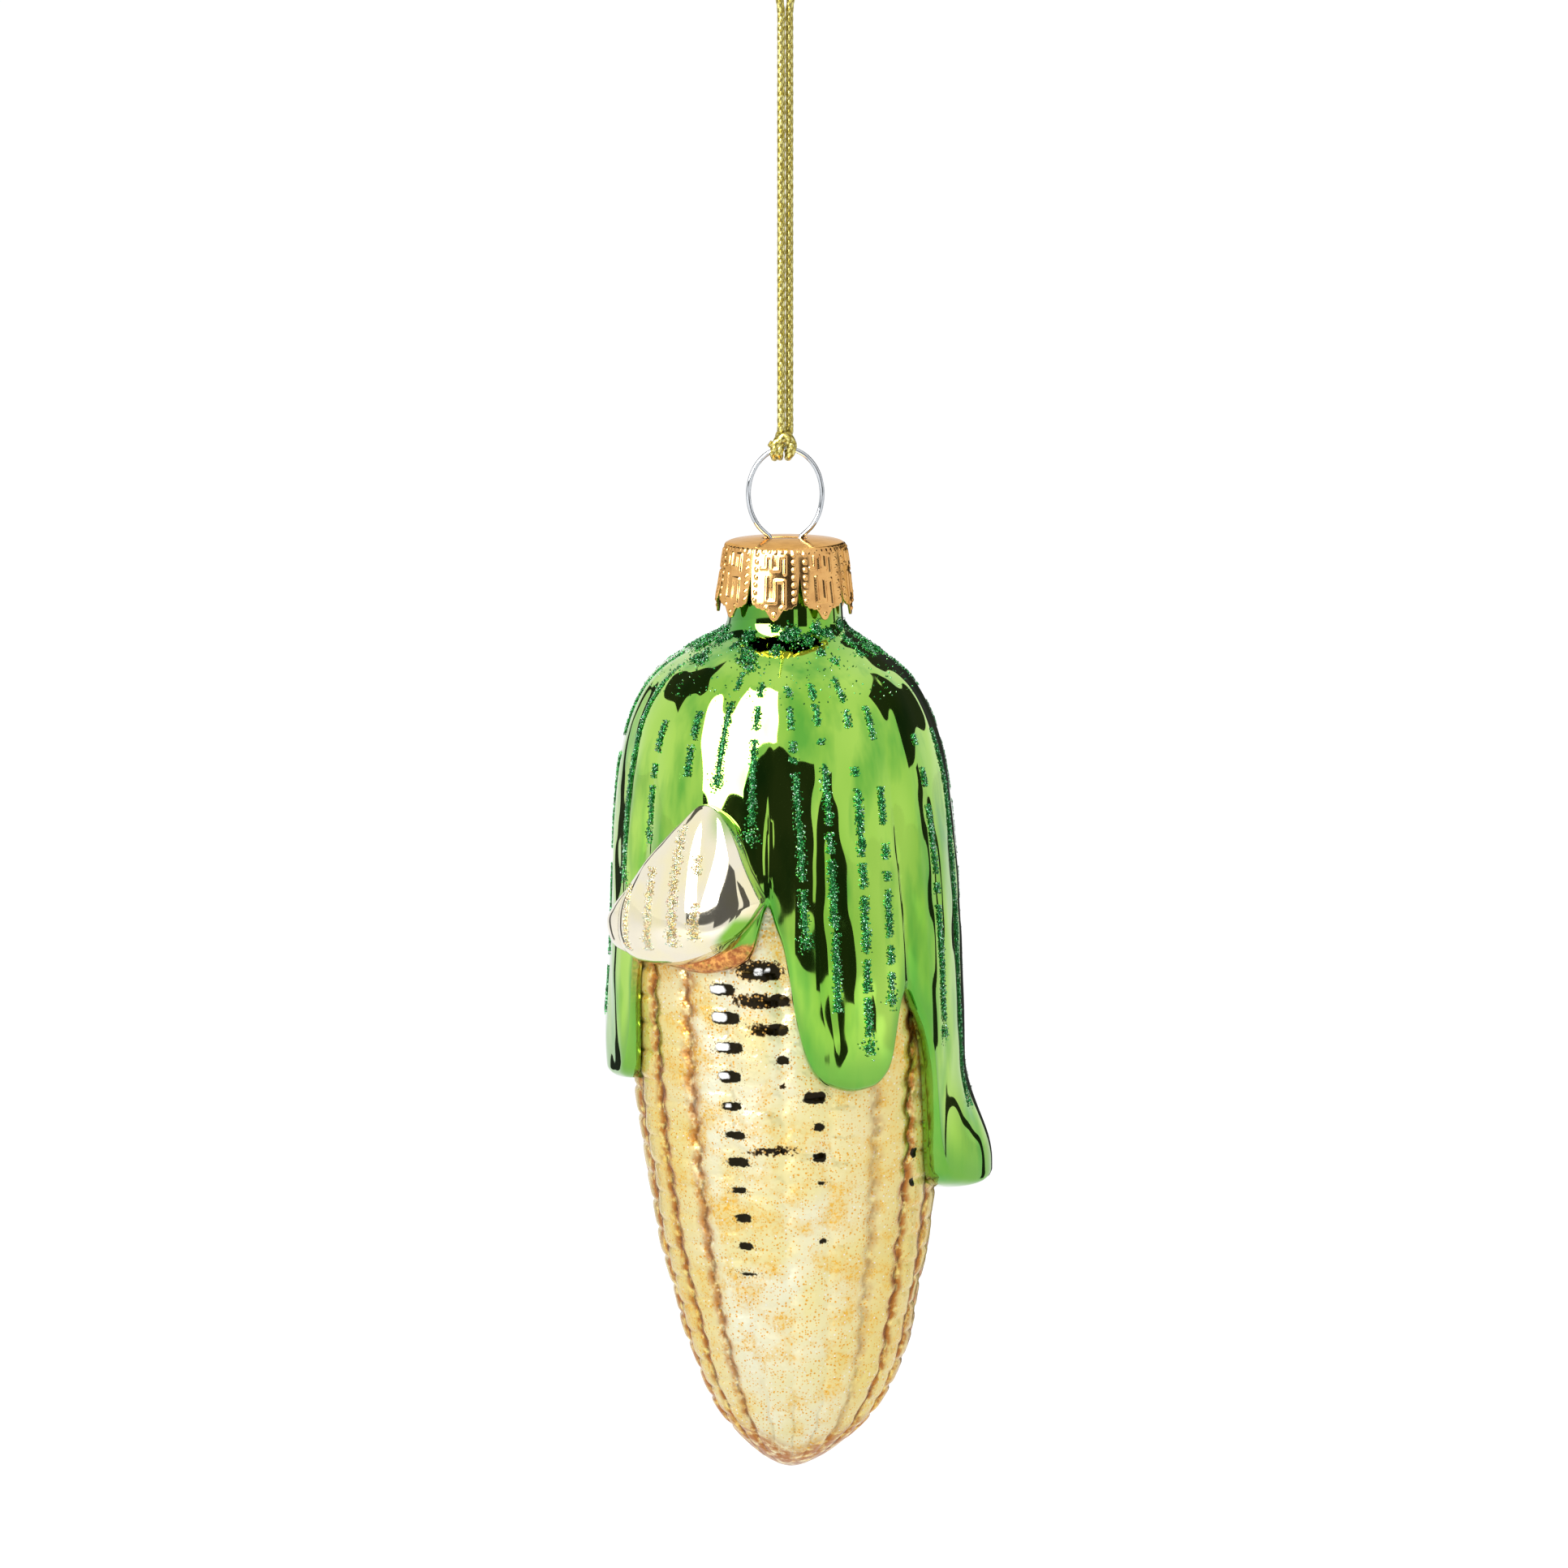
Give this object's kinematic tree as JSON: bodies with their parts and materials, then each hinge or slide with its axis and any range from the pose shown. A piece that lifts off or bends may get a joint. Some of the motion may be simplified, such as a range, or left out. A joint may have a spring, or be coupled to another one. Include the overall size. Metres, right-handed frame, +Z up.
{
  "type": "corn on the cob ornament",
  "caption": "Blown-glass corn-on-the-cob ornament with a green husk, a stamped metal cap, a wire hanger ring and a metallic hanging cord.",
  "frame": {"origin": "top of the cord's eye, where a hook bears on the cord just under its end knot", "axes": "+Z up along the cord and the cob, -Y is the front with the folded leaf at its left, +X to the right seen from the front"},
  "size_m": [0.0486, 0.046, 0.1991],
  "materials": {
    "cob_lacquer": "silvered inside, pearly yellow lacquer with copper speckles",
    "husk_lacquer": "silvered inside, transparent green lacquer, mirror gloss",
    "lining_lacquer": "silvered inside, champagne lacquer, mirror gloss",
    "green_glitter": "emerald glitter flakes in clear glue",
    "pale_glitter": "iridescent white glitter flakes in clear glue",
    "cap_metal": "copper-gold lacquered tinplate, stamped key pattern",
    "wire_metal": "bright nickel-plated spring wire",
    "cord_yarn": "braided metallic yarn, green gold"
  },
  "bodies": {
    "cord": {"cord_hitch": "cord_yarn", "cord_strand_left": "cord_yarn", "cord_strand_right": "cord_yarn", "cord_end_knot": "cord_yarn"},
    "hanger": {"hanger_wire": "wire_metal"},
    "cap": {"cap": "cap_metal"},
    "bulb": {"glass_body": "cob_lacquer", "husk": "husk_lacquer", "folded_leaf": "lining_lacquer", "vein_glitter": "green_glitter", "lining_glitter_right": "pale_glitter", "lining_glitter_middle": "pale_glitter", "lining_glitter_left": "pale_glitter", "lining_glitter_outer": "pale_glitter"}
  },
  "joints": [
    {"name": "hanger_swing", "type": "hinge", "parent": "cord", "child": "hanger", "pos_m": [0, 0, -0.06455], "axis": [1, 0, 0], "range_deg": [-75, 75]},
    {"name": "cap_rock", "type": "hinge", "parent": "hanger", "child": "cap", "pos_m": [0, 0, -0.07545], "axis": [1, 0, 0], "range_deg": [-6, 6]},
    {"name": "bulb_pull_off", "type": "slide", "parent": "cap", "child": "bulb", "axis": [0, 0, -1], "range_m": [0, 0.02]}
  ]
}
